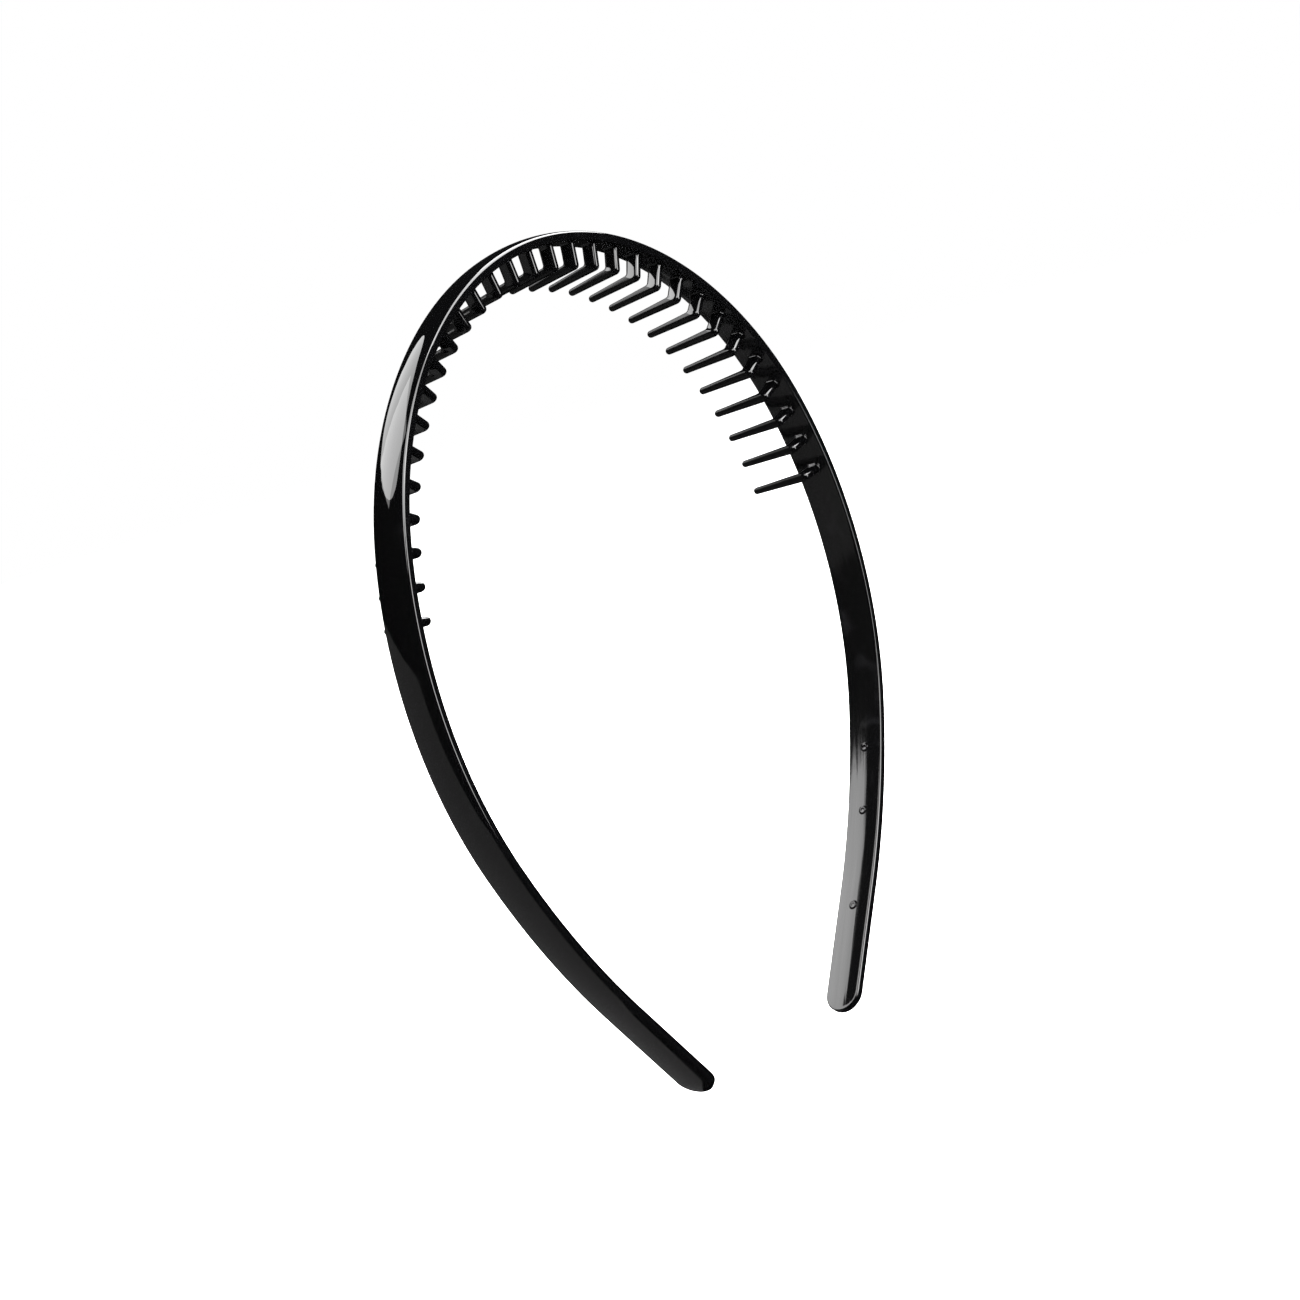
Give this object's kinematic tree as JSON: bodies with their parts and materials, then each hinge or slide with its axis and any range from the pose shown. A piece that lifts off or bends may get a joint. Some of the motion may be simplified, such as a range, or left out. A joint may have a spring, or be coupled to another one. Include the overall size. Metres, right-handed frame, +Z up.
{
  "type": "comb headband",
  "caption": "Narrow domed headband hoop, open at the bottom, with round tips and backward-pointing hooked comb teeth inside its upper half; the arms spring apart.",
  "frame": {"origin": "middle of the crown's inside face, where the wearer's head carries the hoop", "axes": "+Z up out of the top of the head, +Y towards the back of the head, where the tooth fingers point, and +X towards the wearer's left ear; the hoop lies in the XZ plane"},
  "size_m": [0.1258, 0.0138, 0.148],
  "materials": {
    "black_plastic": "high gloss, as moulded"
  },
  "bodies": {
    "crown": {"crown_band": "black_plastic", "left_tooth_01": "black_plastic", "left_tooth_02": "black_plastic", "left_tooth_03": "black_plastic", "left_tooth_04": "black_plastic", "left_tooth_05": "black_plastic", "left_tooth_06": "black_plastic", "left_tooth_07": "black_plastic", "left_tooth_08": "black_plastic", "left_tooth_09": "black_plastic", "left_tooth_10": "black_plastic", "right_tooth_01": "black_plastic", "right_tooth_02": "black_plastic", "right_tooth_03": "black_plastic", "right_tooth_04": "black_plastic", "right_tooth_05": "black_plastic", "right_tooth_06": "black_plastic", "right_tooth_07": "black_plastic", "right_tooth_08": "black_plastic", "right_tooth_09": "black_plastic", "right_tooth_10": "black_plastic"},
    "left_side": {"left_shoulder": "black_plastic", "left_arm": "black_plastic", "left_tip": "black_plastic", "left_tooth_11": "black_plastic", "left_tooth_12": "black_plastic", "left_tooth_13": "black_plastic", "left_tooth_14": "black_plastic", "left_tooth_15": "black_plastic"},
    "right_side": {"right_shoulder": "black_plastic", "right_arm": "black_plastic", "right_tip": "black_plastic", "right_tooth_11": "black_plastic", "right_tooth_12": "black_plastic", "right_tooth_13": "black_plastic", "right_tooth_14": "black_plastic", "right_tooth_15": "black_plastic"}
  },
  "joints": [
    {"name": "left_flex", "type": "hinge", "parent": "crown", "child": "left_side", "pos_m": [0.05221, 0, -0.02647], "axis": [0, -1, 0], "range_deg": [0, 22], "stiffness_Nm_per_rad": 0.12},
    {"name": "right_flex", "type": "hinge", "parent": "crown", "child": "right_side", "pos_m": [-0.05221, 0, -0.02647], "axis": [0, 1, 0], "range_deg": [0, 22], "stiffness_Nm_per_rad": 0.12}
  ]
}
